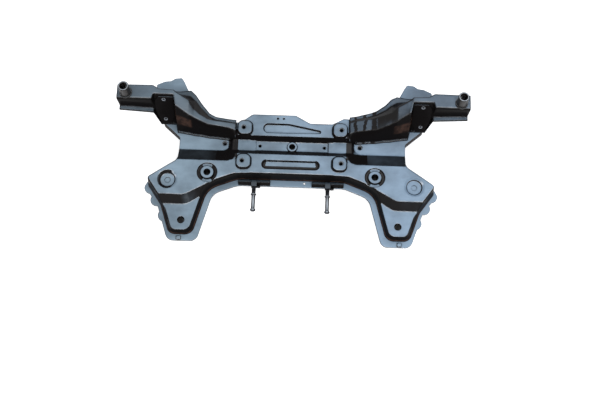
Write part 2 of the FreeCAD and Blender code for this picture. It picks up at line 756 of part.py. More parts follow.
def horn_lower(name, side, inner_rows):
    """Pressing that closes the horn from below, with a wavy apron in front."""
    channel = loft(name + "_channel", [channel_wire(row, side) for row in CHANNEL])
    wall = loft(name + "_wall", [wall_wire(row, side) for row in WALL_OUTER + inner_rows])
    outline = APRON if side > 0 else mirror_corners(APRON)
    top = HORN_FLANGE - GAUGE
    apron = slab(name + "_apron", outline, top - GAUGE, top)
    x, y = tube_place(side)
    hole = cylinder("tip_hole", "sizes.tube_bore + 1.5", 60, x, y, "sizes.level_wing")
    whole = fuse(name + "_horn_under", [channel, wall, apron])
    return finish(cut(name + "_horn_lower", whole, hole), name + "_horn_lower")


# Turned and bent parts


def plane(body, role):
    """One of the body's own origin planes or axes."""
    return next(f for f in body.Origin.OriginFeatures if f.Role == role)


def add_sketch(body, name, role):
    sketch = body.newObject("Sketcher::SketchObject", name)
    sketch.AttachmentSupport = [(plane(body, role), "")]
    sketch.MapMode = "FlatFace"
    return sketch


def sketch_outline(sketch, points):
    """Closed outline whose corners are held at pairs of expressions."""
    count = len(points)
    for i in range(count):
        start = 2 * math.pi * i / count
        end = 2 * math.pi * (i + 1) / count
        line = Part.LineSegment(
            Vector(10 * math.cos(start), 10 * math.sin(start), 0),
            Vector(10 * math.cos(end), 10 * math.sin(end), 0),
        )
        sketch.addGeometry(line, False)
    for i in range(count):
        sketch.addConstraint(Sketcher.Constraint("Coincident", i, 2, (i + 1) % count, 1))
    for i, (x, y) in enumerate(points):
        for axis, expression in (("X", x), ("Y", y)):
            index = sketch.addConstraint(Sketcher.Constraint("Distance" + axis, -1, 1, i, 1, 1.0))
            sketch.setExpression("Constraints[%d]" % index, expression)


def sketch_circles(sketch, circles):
    """Circles whose centre and radius are expressions."""
    for x, y, radius in circles:
        index = sketch.addGeometry(Part.Circle(Vector(1, 1, 0), Vector(0, 0, 1), 1), False)
        for axis, expression in (("X", x), ("Y", y)):
            place = sketch.addConstraint(Sketcher.Constraint("Distance" + axis, -1, 1, index, 3, 1.0))
            sketch.setExpression("Constraints[%d]" % place, expression)
        round_size = sketch.addConstraint(Sketcher.Constraint("Radius", index, 1.0))
        sketch.setExpression("Constraints[%d]" % round_size, radius)


def add_pad(body, name, sketch, length):
    pad = body.newObject("PartDesign::Pad", name)
    pad.Profile = sketch
    pad.setExpression("Length", length)
    return pad


def turned_body(label, profile, role, axis):
    """Body turned about one of its own axes from a half profile."""
    body = doc.addObject("PartDesign::Body", label)
    sketch = add_sketch(body, label + "_profile", role)
    sketch_outline(sketch, profile)
    turn = body.newObject("PartDesign::Revolution", label + "_turn")
    turn.Profile = sketch
    turn.ReferenceAxis = (plane(body, axis), [""])
    turn.Angle = FULL_TURN
    return body


def sleeve(label, bore, outer, low, high, edge, x, y):
    """Upright sleeve with a chamfered top rim."""
    profile = [
        (bore, "0"),
        (outer, "0"),
        (outer, "%s - %s - %s" % (high, low, edge)),
        ("%s - %s" % (outer, edge), "%s - %s" % (high, low)),
        ("%s + %s" % (bore, edge), "%s - %s" % (high, low)),
        (bore, "%s - %s - %s" % (high, low, edge)),
    ]
    body = turned_body(label, profile, "XZ_Plane", "Z_Axis")
    return finish(body, label, x, y, low)


def arm_collar(label, side):
    """Ring in the deck on a narrower tube that stands on the floor."""
    top = "sizes.level_deck + 2 - sizes.gauge"
    shoulder = "sizes.level_deck - sizes.recess_depth - sizes.gauge - 8"
    neck = "sizes.collar_bore + 4"
    profile = [
        ("sizes.collar_bore", "0"),
        (neck, "0"),
        (neck, shoulder),
        ("sizes.collar_outer", shoulder),
        ("sizes.collar_outer", "%s - 1.5" % top),
        ("sizes.collar_outer - 1.5", top),
        ("sizes.collar_bore", top),
    ]
    body = turned_body(label, profile, "XZ_Plane", "Z_Axis")
    return finish(body, label, "%d * sizes.collar_x" % side, "sizes.collar_y", "sizes.gauge")


def pivot_sleeve(label, side):
    """Sleeve with a closed top under the dimple; its bolt comes from below."""
    outer = "sizes.pivot_seat - 3"
    top = "sizes.level_deck - sizes.pivot_depth - 2 * sizes.gauge"
    profile = [
        ("sizes.pivot_bore", "0"),
        (outer, "0"),
        (outer, top),
        ("0", top),
        ("0", "%s - 4" % top),
        ("sizes.pivot_bore", "%s - 4" % top),
    ]
    body = turned_body(label, profile, "XZ_Plane", "Z_Axis")
    return finish(body, label, "%d * sizes.pivot_x" % side, "sizes.pivot_y", "sizes.gauge")


def sleeves(name, side):
    """Sleeves and collars of one side, each standing on the sheet below it."""
    floor = "sizes.gauge"
    tube_x, tube_y = tube_place(side)
    horn = "sizes.level_horn"
    sleeve(
        name + "_front_mount_tube", "sizes.tube_bore", "sizes.tube_outer",
        horn, horn + " + sizes.tube_height", "1.5", tube_x, tube_y,
    )
    sleeve(
        name + "_tube_seat_ring", "sizes.tube_outer", "sizes.seat_outer",
        horn, horn + " + sizes.seat_height", "1.2", tube_x, tube_y,
    )
    sleeve(
        name + "_rear_mount_sleeve", "sizes.mount_bore", "sizes.mount_sleeve",
        floor, "sizes.level_lobe - sizes.gauge", "0.8", "%d * sizes.mount_x" % side, "sizes.mount_y",
    )
    arm_collar(name + "_arm_collar", side)
    pivot_sleeve(name + "_pivot_sleeve", side)


def weld_nuts(label, places, seat):
    """Group of hexagon weld nuts that hang under the upper panel."""
    nuts = []
    for x, y in places:
        nut = doc.addObject("Part::Prism", label + "_hexagon")
        nut.Polygon = 6
        bind(nut, Circumradius="sizes.nut_across / sqrt(3)", Height="sizes.nut_height")
        low = "%s - sizes.gauge - sizes.nut_height" % seat
        bind(nut, Placement__Base__x=x, Placement__Base__y=y, Placement__Base__z=low)
        nuts.append(nut)
        bore = cylinder(label + "_bore", "sizes.nut_bore", "sizes.nut_height", x, y, low)
        nuts[-1] = cut(label + "_nut", nut, bore)
    group = doc.addObject("Part::Compound", label)
    group.Links = nuts
    return finish(group, label)


def all_nuts():
    gear = []
    wing = []
    for name, side in SIDES:
        x = "%d * sizes.gear_span / 2" % side
        gear.append((x, "sizes.gear_front"))
        gear.append((x, "sizes.gear_front - sizes.gear_pitch"))
        wing.append(("%d * sizes.wing_hole_x" % side, "sizes.wing_hole_y"))
    weld_nuts("steering_gear_nuts", gear, "sizes.level_pad")
    weld_nuts("wing_valley_nuts", wing, "sizes.level_wing")


def gusset_plate(name, side):
    """Plate on the horn's rear wall, cut from flat sheet with two small holes."""
    label = name + "_gusset_plate"
    body = doc.addObject("PartDesign::Body", label)
    sketch = add_sketch(body, label + "_outline", "XY_Plane")
    half = "sizes.gusset_width / 2"
    tall = "sizes.gusset_height"
    outline = [
        ("-(%s)" % half, "28"),
        ("-(%s) + 13" % half, "2"),
        ("%s - 15" % half, "2"),
        ("%s - 6" % half, "30"),
        ("%s - 2" % half, "50"),
        ("%s - 2" % half, "%s - 14" % tall),
        ("%s - 12" % half, tall),
        ("-(%s)" % half, tall),
    ]
    signed = [("%d * (%s)" % (side, x), y) for x, y in outline]
    sketch_outline(sketch, signed)
    heights = ("18", "%s - 10" % tall)
    sketch_circles(sketch, [("0.01", height, "sizes.gusset_hole") for height in heights])
    add_pad(body, label + "_sheet", sketch, "sizes.gusset_gauge")
    places, levels = HORN_OUTER[4][1:3]
    foot = (places[1], levels[0])
    slope = math.degrees(math.atan2(levels[1] - levels[0], places[2] - places[1]))
    body.Placement = Placement(Vector(0, 0, 0), Rotation(Vector(1, 0, 0), slope))
    return finish(body, label, "%d * sizes.gusset_x" % side, str(foot[0]), str(foot[1]))


BRACKET_Y = -68.0
CLAMP_WIDTH = 15.0
CLAMP_REACH = 20.0


def hanger_bracket(name, side):
    """Clamp bar on the rear flange with a block that carries the hanger rod."""
    label = name + "_hanger_bracket"
    body = doc.addObject("PartDesign::Body", label)
    bar = add_sketch(body, label + "_bar_outline", "XY_Plane")
    half = "sizes.bracket_length / 2"
    deep = "sizes.bracket_depth / 2"
    sketch_outline(
        bar,
        [
            ("-(%s)" % half, "-(%s)" % deep),
            (half, "-(%s)" % deep),
            (half, deep),
            ("-(%s)" % half, deep),
        ],
    )
    add_pad(body, label + "_bar", bar, "sizes.bracket_height")
    block_sketch = add_sketch(body, label + "_block_outline", "XY_Plane")
    wide = "%g" % (CLAMP_WIDTH / 2)
    stub = "%g" % (CLAMP_WIDTH / 2 + 9)
    reach = "-(%s) - %g" % (deep, CLAMP_REACH - 10)
    sketch_outline(
        block_sketch,
        [
            ("-" + wide, reach),
            (stub, reach),
            (stub, "-(%s) + 3" % deep),
            (wide, "-(%s) + 4" % deep),
            (wide, "%s - 1" % deep),
            ("-" + wide, "%s - 1" % deep),
        ],
    )
    block_pad = add_pad(body, label + "_block", block_sketch, "sizes.bracket_height + 4")
    body.Tip = block_pad
    return finish(body, label, "%d * sizes.rod_x" % side, str(BRACKET_Y), "sizes.level_flange")


def hanger_rod(name, side):
    """Rod behind the bracket, with a collar part-way and a flared tip."""
    label = name + "_hanger_rod"
    start = "0"
    length = "sizes.rod_length"
    profile = [
        ("0", start),
        ("sizes.rod_radius", start),
        ("sizes.rod_radius", "-0.36 * %s" % length),
        ("sizes.rod_collar", "-0.40 * %s" % length),
        ("sizes.rod_radius", "-0.44 * %s" % length),
        ("sizes.rod_radius", "-%s + 11" % length),
        ("sizes.rod_tip", "-%s + 6" % length),
        ("sizes.rod_tip", "-%s + 2" % length),
        ("sizes.rod_tip - 2", "-%s" % length),
        ("0", "-%s" % length),
    ]
    body = turned_body(label, profile, "XY_Plane", "Y_Axis")
    seat = "%g - sizes.bracket_depth / 2 - %g" % (BRACKET_Y, CLAMP_REACH - 10)
    height = "sizes.level_flange + (sizes.bracket_height + 4) / 2"
    return finish(body, label, "%d * sizes.rod_x" % side, seat, height)


def centre_collar():
    """Raised collar in the middle of the rack valley."""
    sleeve(
        "centre_collar", "sizes.centre_bore", "sizes.centre_outer",
        "sizes.gauge", "sizes.level_rack + 3", "1.5", "0", "sizes.centre_y",
    )


upper_panel()
lower_panel()
horn_upper("left", -1, HORN_INNER_LEFT)
horn_upper("right", 1, HORN_INNER_RIGHT)
horn_lower("left", -1, WALL_INNER_LEFT)
horn_lower("right", 1, WALL_INNER_RIGHT)
centre_collar()
all_nuts()
for name, side in SIDES:
    sleeves(name, side)
    gusset_plate(name, side)
    hanger_bracket(name, side)
    hanger_rod(name, side)


def check_and_export():
    """Stops on any object in error, then writes each finished sub-part as STEP."""
    doc.recompute()
    for thing in doc.Objects:
        if "Invalid" in thing.State or "Error" in thing.State:
            raise RuntimeError("%s is %s" % (thing.Name, thing.State))
    for thing in finished:
        if thing.Shape.isNull() or not thing.Shape.isValid():
            raise RuntimeError("%s has no valid shape" % thing.Label)
        thing.Shape.exportStep("parts/%s.step" % thing.Label)


check_and_export()
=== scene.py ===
import math

import bmesh
import bpy
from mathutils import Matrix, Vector


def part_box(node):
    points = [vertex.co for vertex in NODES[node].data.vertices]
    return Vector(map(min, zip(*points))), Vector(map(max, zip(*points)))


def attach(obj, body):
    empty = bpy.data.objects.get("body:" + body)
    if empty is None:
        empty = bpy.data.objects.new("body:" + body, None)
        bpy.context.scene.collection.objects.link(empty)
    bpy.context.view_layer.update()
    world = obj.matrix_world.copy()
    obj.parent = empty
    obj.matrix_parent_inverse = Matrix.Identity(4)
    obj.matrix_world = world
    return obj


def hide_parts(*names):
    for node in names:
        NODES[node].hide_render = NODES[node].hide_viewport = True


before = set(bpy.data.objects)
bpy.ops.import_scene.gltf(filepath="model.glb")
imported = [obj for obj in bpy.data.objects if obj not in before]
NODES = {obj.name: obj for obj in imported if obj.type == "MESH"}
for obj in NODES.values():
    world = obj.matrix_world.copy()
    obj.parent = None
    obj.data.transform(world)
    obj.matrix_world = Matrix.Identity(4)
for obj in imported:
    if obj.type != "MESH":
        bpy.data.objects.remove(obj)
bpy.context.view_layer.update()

# Front subframe in glossy black paint on a white floor, seen from behind and above.
# Lengths are in metres, +X to the right, +Y to the vehicle's front and +Z up.

MM = 0.001


def both(name):
    """The left and the right node of a name."""
    return ["left_" + name, "right_" + name]


GUSSETS = both("gusset_plate")
HORNS = both("horn_upper")
HORN_UNDERS = both("horn_lower")
TUBES = both("front_mount_tube") + both("tube_seat_ring")
COLLARS = both("arm_collar") + both("pivot_sleeve") + both("rear_mount_sleeve") + ["centre_collar"]
RODS = both("hanger_rod")
NUTS = ["steering_gear_nuts", "wing_valley_nuts"]

# Colours: the black coat, the pale painted reflection of the sky on faces that look up, the brown
# weld line
WALL_BLACK = (0.008, 0.007, 0.007, 1)
# Painted sheen: faces that look down are a little paler than the walls
UNDERSIDE_SHEEN = (0.028, 0.03, 0.034, 1)
SEAM_BROWN = (0.06, 0.034, 0.026, 1)
RING_PALE = (0.3, 0.32, 0.35, 1)
SKY_REFLECTION_LEFT = (0.26, 0.345, 0.415, 1)
SKY_REFLECTION_RIGHT = (0.255, 0.35, 0.455, 1)
# Painted highlight along the bends that turn to the rear
PAINTED_HIGHLIGHT = (0.8, 0.84, 0.88, 1)
# Painted light on the faces of tubes and rods that look up
STEEL_LIT_TOP = (0.33, 0.36, 0.39, 1)
TUBE_BLACK = (0.014, 0.012, 0.011, 1)
ROD_GREY = (0.03, 0.03, 0.034, 1)
NUT_GREY = (0.05, 0.05, 0.05, 1)
WHITE = (1, 1, 1, 1)

# Ranges of how far a face looks up, from -1 straight down to 1 straight up. The first five set where
# the painted sky reflection comes in, UNDERSIDE the painted sheen below and STEEL_TOP the top of the
# painted light on steel
PANEL_REFLECTION = (0.80, 0.93)
HORN_REFLECTION = (0.84, 0.97)
GUSSET_REFLECTION = (0.95, 1.0)
COLLAR_REFLECTION = (0.9, 0.98)
BRACKET_REFLECTION = (0.93, 0.99)
UNDERSIDE = (-0.9, -0.4)
STEEP = (0.3, 0.6)
GLOSSY = (0.45, 0.92)
STEEL_TOP = 0.98

# Painted reflection of the sky: it drifts in soft patches, thins in streaks and is stronger on faces
# that turn to the right, which is painted light from that side. Its painted highlight lies along the
# bends that turn to the rear.
REFLECTION_EDGE = 300.0 * MM
REFLECTION_DRIFT = 0.08
PAINTED_LIGHT_TURN = 0.12
MOTTLE_RANGE = (0.34, 0.64)
MOTTLE_LEAST = 0.62
STREAK_RANGE = (0.3, 0.7)
STREAK_LEAST = 0.86
RIM_INSET = (0.05, 0.01)
RIM_EDGE = 0.03
RIM_REAR = (-0.35, -0.12)
RIM_RANGE = (0.35, 0.6)
RIM_LEAST = 0.4

# Gloss, from bare black to full painted reflection, and on walls and level faces
SHEET_ROUGHNESS = (0.22, 0.36)
SHEET_SPECULAR = 0.005
COAT_WEIGHTS = (0.02, 0.3)
COAT_ROUGHNESS = 0.09
STEEL_SPECULAR = 0.15
STEEL_SPREAD = 0.15
STEEL_RUB = (0.42, 0.68)
STEEL_PALER = 1.9

# Brown weld line and patches on steep walls, by height and by distance from the middle
SEAM_HEIGHTS = (34.0 * MM, 39.0 * MM)
SEAM_EDGE = 3.0 * MM
SEAM_RANGE = (0.35, 0.6)
SEAM_LEAST = 0.3
PATCH_REACH = (275.0 * MM, 315.0 * MM)
PATCH_HEIGHTS = (82.0 * MM, 105.0 * MM)
PATCH_EDGE = 8.0 * MM

# Places on the panels and horns, from the middle of the rack valley, most of them for painted light
# and shade. The lit side of the left dimple is measured from its middle to the right.
DATUM_Y = 17.1 * MM
PAD_X = 131.0 * MM
PAD_ROWS = (68.0 * MM, -27.0 * MM)
PAD_REACH = 32.0 * MM
PAD_EDGE = 5.0 * MM
# Painted light on the pads' slopes
PAD_PAINTED_LIGHT = 0.15
COLLAR_X = 221.7 * MM
COLLAR_Y = -60.0 * MM
RECESS_RING = (19.0 * MM, 26.0 * MM)
RECESS_EDGE = 1.5 * MM
RECESS_SIDES = (0.45, 0.8)
PIVOT_X = 325.7 * MM
PIVOT_Y = -82.0 * MM
DIMPLE_REACH = 27.0 * MM
DIMPLE_EDGE = 3.0 * MM
DIMPLE_RING = (19.5 * MM, 21.0 * MM)
DIMPLE_LIGHT = 0.25
DIMPLE_LIT = (4.0 * MM, 18.0 * MM)
RIBS = [(165.0 * MM, 170.0 * MM), (190.0 * MM, 196.0 * MM), (214.0 * MM, 224.0 * MM)]
RIB_WAVE = 24.0 * MM
RIB_EDGE = 1.5 * MM
GUSSET_X = 343.5 * MM
GUSSET_HOLES = [(94.3 * MM, 69.0 * MM), (122.9 * MM, 133.0 * MM)]
GUSSET_RING = (5.0 * MM, 6.5 * MM)
STEP_LEFT = 171.0 * MM
STEP_RIGHT = 163.0 * MM
STEP_TOP = 146.0 * MM
STEP_DEPTH = (-12.0 * MM + DATUM_Y, 62.0 * MM + DATUM_Y)
STEP_EDGE = 1.5 * MM
STEP_FADE = 4.0 * MM
CORNER_END = 195.0 * MM
CORNER_DEPTH = (-22.0 * MM + DATUM_Y, 12.0 * MM + DATUM_Y)
CORNER_FADE = 8.0 * MM
CORNER_SHADE = 0.25
BEAD_ENDS = (-66.0 * MM, 62.0 * MM)
BEAD_Y = -32.0 * MM
BEAD_HALF = 12.0 * MM
BEAD_BAND = 8.5 * MM


# Shader building


class Tree:
    """Node tree of a material or world, with short calls to add and join nodes."""

    def __init__(self, owner):
        owner.use_nodes = True
        self.tree = owner.node_tree
        self.tree.nodes.clear()

    def add(self, kind, **settings):
        node = self.tree.nodes.new(kind)
        for name, value in settings.items():
            setattr(node, name, value)
        return node

    def join(self, source, target):
        self.tree.links.new(source, target)

    def feed(self, socket, value):
        """Sets a socket to a plain value or links another node's output to it."""
        if isinstance(value, bpy.types.NodeSocket):
            self.join(value, socket)
        else:
            socket.default_value = value

    def math(self, operation, first, second=0.0, clamp=False):
        node = self.add("ShaderNodeMath", operation=operation, use_clamp=clamp)
        self.feed(node.inputs[0], first)
        self.feed(node.inputs[1], second)
        return node.outputs[0]

    def plus(self, first, second):
        return self.math("ADD", first, second)

    def minus(self, first, second):
        return self.math("SUBTRACT", first, second)

    def times(self, first, second):
        return self.math("MULTIPLY", first, second)

    def most(self, first, second):
        return self.math("MAXIMUM", first, second)

    def length(self, parts):
        """Length of a vector from its parts."""
        total = 0.0
        for part in parts:
            total = self.plus(total, self.times(part, part))
        return self.math("SQRT", total)

    def ramp(self, value, low, high, to_low=0.0, to_high=1.0):
        """Smooth step of a value from one range to another."""
        node = self.add("ShaderNodeMapRange", interpolation_type="SMOOTHSTEP")
        self.feed(node.inputs["Value"], value)
        self.feed(node.inputs["From Min"], low)
        self.feed(node.inputs["From Max"], high)
        self.feed(node.inputs["To Min"], to_low)
        self.feed(node.inputs["To Max"], to_high)
        return node.outputs["Result"]

    def fall(self, value, low, high):
        """1 up to the low end, 0 from the high end on."""
        return self.ramp(value, low, high, 1.0, 0.0)

    def between(self, value, span, edge):
        """1 inside a span, 0 an edge further out."""
        low, high = span
        return self.times(self.ramp(value, low - edge, low), self.fall(value, high, high + edge))

    def mix(self, share, first, second):
        """Mix of two colours, whose sockets are numbers 6 and 7 of this node."""
        node = self.add("ShaderNodeMix", data_type="RGBA")
        self.feed(node.inputs[0], share)
        self.feed(node.inputs[6], first)
        self.feed(node.inputs[7], second)
        return node.outputs[2]

    def noise(self, waves, detail, roughness=0.5, stretch=(1.0, 1.0, 1.0)):
        """Noise in the object's own space, in waves a metre."""
        place = self.add("ShaderNodeTexCoord")
        mapping = self.add("ShaderNodeMapping")
        mapping.inputs["Scale"].default_value = stretch
        self.join(place.outputs["Object"], mapping.inputs["Vector"])
        node = self.add("ShaderNodeTexNoise")
        self.join(mapping.outputs["Vector"], node.inputs["Vector"])
        node.inputs["Scale"].default_value = waves
        node.inputs["Detail"].default_value = detail
        node.inputs["Roughness"].default_value = roughness
        return node.outputs["Fac"]

    def part(self, vector, axis):
        """One axis of a vector."""
        parts = self.add("ShaderNodeSeparateXYZ")
        self.join(vector, parts.inputs[0])
        return parts.outputs[axis]

    def place(self, axis):
        """One coordinate of the shaded point, in metres; the nodes stand at the origin."""
        return self.part(self.add("ShaderNodeNewGeometry").outputs["Position"], axis)

    def soft_normal(self, radius):
        """World-space normal with the sheet's bends rounded off."""
        bevel = self.add("ShaderNodeBevel", samples=8)
        bevel.inputs["Radius"].default_value = radius
        return bevel.outputs["Normal"]

    def bump(self, height, normal, strength, distance):
        """Normal roughened by a height."""
        node = self.add("ShaderNodeBump")
        node.inputs["Strength"].default_value = strength
        node.inputs["Distance"].default_value = distance
        self.join(height, node.inputs["Height"])
        self.join(normal, node.inputs["Normal"])
        return node.outputs["Normal"]

    def show(self, shader, kind="ShaderNodeOutputMaterial"):
        """Makes a shader the tree's output."""
        self.join(shader.outputs[0], self.add(kind).inputs["Surface"])


# Places on the sheets that are paler or darker than the look of the face says, which is painted light
# and shade, or browner


def offsets_from(tree, x, y):
    """Distances in X and Y from a pair of upright axes that mirror each other."""
    across = tree.minus(tree.math("ABSOLUTE", tree.place("X")), x)
    along = tree.minus(tree.place("Y"), y + DATUM_Y)
    return across, along


def pad_share(tree):
    """1 on the steering-gear pads and their slopes, where the painted sky reflection thins out
    slowly: painted light on the slopes.
    """
    share = 0.0
    for y in PAD_ROWS:
        reach = tree.length(offsets_from(tree, PAD_X, y))
        share = tree.most(share, tree.fall(reach, PAD_REACH, PAD_REACH + PAD_EDGE))
    return share


def recess_shade(tree):
    """1 at the left and the right of the recess round each rear arm collar, where its slopes get
    painted shade.
    """
    across, along = offsets_from(tree, COLLAR_X, COLLAR_Y)
    reach = tree.length((across, along))
    sideways = tree.math("DIVIDE", tree.math("ABSOLUTE", across), reach)
    ring = tree.between(reach, RECESS_RING, RECESS_EDGE)
    return tree.times(ring, tree.ramp(sideways, *RECESS_SIDES))


def dimple_light(tree):
    """Painted light on the slopes in the dimples: all round on the right, with a painted dark ring,
    and on the right side on the left.
    """
    reach = tree.length(offsets_from(tree, PIVOT_X, PIVOT_Y))
    inside = tree.fall(reach, DIMPLE_REACH, DIMPLE_REACH + DIMPLE_EDGE)
    across = tree.place("X")
    right = tree.minus(tree.ramp(across, -MM, MM), tree.between(reach, DIMPLE_RING, MM))
    near, far = DIMPLE_LIT
    left = tree.times(tree.ramp(across, near - PIVOT_X, far - PIVOT_X), tree.fall(across, -MM, MM))
    return tree.times(tree.times(tree.plus(right, left), inside), DIMPLE_LIGHT)


def step_shade(tree):
    """Painted shade down the steps between the rack valley's block and the wing valleys, and a
    lighter painted shade in the corners beside them.
    """
    across = tree.place("X")
    depth = tree.place("Y")
    left = tree.between(across, (-STEP_LEFT, -STEP_TOP), STEP_EDGE)
    right = tree.between(across, (STEP_TOP, STEP_RIGHT), STEP_EDGE)
    step = tree.times(tree.most(left, right), tree.between(depth, STEP_DEPTH, STEP_FADE))
    corner = tree.between(tree.math("ABSOLUTE", across), (STEP_TOP, CORNER_END), CORNER_FADE)
    corner = tree.times(corner, tree.between(depth, CORNER_DEPTH, MM))
    return tree.most(step, tree.times(corner, CORNER_SHADE))


def bead_shade(tree):
    """Painted shade: 1 on the slope at the rear side and the round ends of the rear bead."""
    across = tree.place("X")
    left, right = BEAD_ENDS
    beyond = tree.most(tree.minus(left, across), tree.minus(across, right))
    beyond = tree.most(beyond, 0.0)
    along = tree.minus(tree.place("Y"), BEAD_Y + DATUM_Y)
    reach = tree.length((beyond, along))
    band = tree.between(reach, (BEAD_HALF - BEAD_BAND, BEAD_HALF + MM), MM)
    rear = tree.fall(along, -BEAD_HALF / 2, 0.0)
    ends = tree.ramp(beyond, 0.0, BEAD_HALF / 2)
    return tree.times(band, tree.most(rear, ends))


def panel_painted_light_and_shade(tree, streaks):
    """Painted light and shade that the panels' forms add to the look upwards, or take from it."""
    paler = tree.plus(tree.times(pad_share(tree), PAD_PAINTED_LIGHT), dimple_light(tree))
    darker = tree.plus(tree.plus(recess_shade(tree), step_shade(tree)), bead_shade(tree))
    return tree.minus(paler, darker)


def horn_rib_shade(tree, streaks):
    """Painted shade of three narrow shallow ribs across the inner end of the right horn."""
    wave = tree.times(tree.minus(streaks, 0.5), RIB_WAVE)
    across = tree.plus(tree.place("X"), wave)
    share = 0.0
    for rib in RIBS:
        share = tree.most(share, tree.between(across, rib, RIB_EDGE))
    return tree.minus(0.0, share)


def seam_tint(tree, up, dark):
    """Brown on steep walls: a line where the panels are welded, a patch by each gusset."""
    height = tree.place("Z")
    seam = tree.between(height, SEAM_HEIGHTS, SEAM_EDGE)
    outward = tree.math("ABSOLUTE", tree.place("X"))
    patch = tree.between(outward, PATCH_REACH, PATCH_EDGE)
    patch = tree.times(patch, tree.between(height, PATCH_HEIGHTS, PATCH_EDGE))
    share = tree.times(tree.most(seam, patch), tree.fall(up, *STEEP))
    broken = tree.ramp(tree.noise(waves=60.0, detail=3.0), *SEAM_RANGE, SEAM_LEAST, 1.0)
    return tree.mix(tree.times(share, broken), dark, SEAM_BROWN)


def ring_tint(tree, up, dark):
    """Pale rings round the two small holes in each gusset plate."""
    share = 0.0
    for y, z in GUSSET_HOLES:
        across, along = offsets_from(tree, GUSSET_X, y)
        away = tree.length((across, along, tree.minus(tree.place("Z"), z)))
        share = tree.most(share, tree.fall(away, *GUSSET_RING))
    return tree.mix(share, dark, RING_PALE)


# Materials


def painted_reflection_level(tree, rounded, up, patches):
    """How far a face looks up, with the painted reflection's drift and its turn to the right, which
    is painted light from the right.
    """
    drift = tree.minus(tree.times(patches, REFLECTION_DRIFT), REFLECTION_DRIFT / 2)
    turned = tree.times(tree.part(rounded, "X"), PAINTED_LIGHT_TURN)
    return tree.plus(up, tree.plus(drift, turned))


def painted_reflection_share(tree, level, reflection_range, strength, patches, streaks):
    """How much the painted sky reflection covers, from 0 to 1."""
    mottle = tree.ramp(patches, *MOTTLE_RANGE, MOTTLE_LEAST * strength, strength)
    mottle = tree.times(mottle, tree.ramp(streaks, *STREAK_RANGE, STREAK_LEAST, 1.0))
    return tree.math("MULTIPLY", tree.ramp(level, *reflection_range), mottle, clamp=True)


def painted_reflection_colour(tree, rounded, level, reflection_range, streaks):
    """Blue-grey painted sky reflection, a little bluer to the right, with a painted highlight along
    the bends at the rear.
    """
    across = tree.ramp(tree.place("X"), -REFLECTION_EDGE, REFLECTION_EDGE)
    pale = tree.mix(across, SKY_REFLECTION_LEFT, SKY_REFLECTION_RIGHT)
    low, high = reflection_range
    # Painted highlight along the bends that turn to the rear
    rim = tree.between(level, (low + RIM_INSET[0], high - RIM_INSET[1]), RIM_EDGE)
    rim = tree.times(rim, tree.fall(tree.part(rounded, "Y"), *RIM_REAR))
    rim = tree.times(rim, tree.ramp(streaks, *RIM_RANGE, RIM_LEAST, 1.0))
    return tree.mix(rim, pale, PAINTED_HIGHLIGHT)


def painted_sheet(name, bend, reflection_range, strength=1.0, shift=None, tint=None):
    """Gloss black coat. Faces that look up carry a pale painted reflection of the sky.

    The sheet's edges are rounded off by the radius bend. The painted reflection sets in over the
    given range of the look upwards, which shift changes in places. Tint colours the dark coat.
    """
    material = bpy.data.materials.new(name)
    tree = Tree(material)
    rounded = tree.soft_normal(bend)
    up = tree.part(rounded, "Z")
    patches = tree.noise(waves=8.0, detail=5.0, roughness=0.55)
    streaks = tree.noise(waves=22.0, detail=5.0, roughness=0.6, stretch=(1.0, 2.6, 1.0))
    grain = tree.noise(waves=420.0, detail=3.0)

    level = painted_reflection_level(tree, rounded, up, patches)
    if shift:
        level = tree.plus(level, shift(tree, streaks))
    share = painted_reflection_share(tree, level, reflection_range, strength, patches, streaks)
    # Dark coat, with painted sheen on the faces that look down
    dark = tree.mix(tree.fall(up, *UNDERSIDE), WALL_BLACK, UNDERSIDE_SHEEN)
    if tint:
        dark = tint(tree, up, dark)
    pale = painted_reflection_colour(tree, rounded, level, reflection_range, streaks)
    shader = tree.add("ShaderNodeBsdfPrincipled")
    tree.join(tree.mix(share, dark, pale), shader.inputs["Base Color"])
    tree.join(tree.ramp(share, 0.0, 1.0, *SHEET_ROUGHNESS), shader.inputs["Roughness"])
    shader.inputs["Specular IOR Level"].default_value = SHEET_SPECULAR
    flat = tree.math("ABSOLUTE", up)
    tree.join(tree.ramp(flat, *GLOSSY, *COAT_WEIGHTS), shader.inputs["Coat Weight"])
    shader.inputs["Coat Roughness"].default_value = COAT_ROUGHNESS
    uneven = tree.bump(grain, rounded, strength=0.12, distance=0.3 * MM)
    tree.join(uneven, shader.inputs["Normal"])
    tree.join(rounded, shader.inputs["Coat Normal"])
    tree.show(shader)
    return material


def worn_steel(name, colour, metallic, roughness, lit_top_from=0.9):
    """Thin dark coat on turned steel, lighter where it has rubbed, with painted light where it looks
    up.
    """
    material = bpy.data.materials.new(name)
    tree = Tree(material)
    rounded = tree.soft_normal(MM)
    rub = tree.noise(waves=160.0, detail=5.0, roughness=0.6)
    shader = tree.add("ShaderNodeBsdfPrincipled")
    paler = tuple(channel * STEEL_PALER for channel in colour[:3]) + (1,)
    rubbed = tree.mix(tree.ramp(rub, *STEEL_RUB), colour, paler)
    top = tree.ramp(tree.part(rounded, "Z"), lit_top_from, STEEL_TOP)
    tree.join(tree.mix(top, rubbed, STEEL_LIT_TOP), shader.inputs["Base Color"])
    shader.inputs["Metallic"].default_value = metallic
    shader.inputs["Specular IOR Level"].default_value = STEEL_SPECULAR
    dull = tree.ramp(rub, *STREAK_RANGE, roughness, roughness + STEEL_SPREAD)
    tree.join(dull, shader.inputs["Roughness"])
    uneven = tree.bump(rub, rounded, strength=0.2, distance=0.2 * MM)
    tree.join(uneven, shader.inputs["Normal"])
    tree.show(shader)
    return material


def paint(names, material):
    for name in names:
        slots = NODES[name].data.materials
        slots.clear()
        slots.append(material)


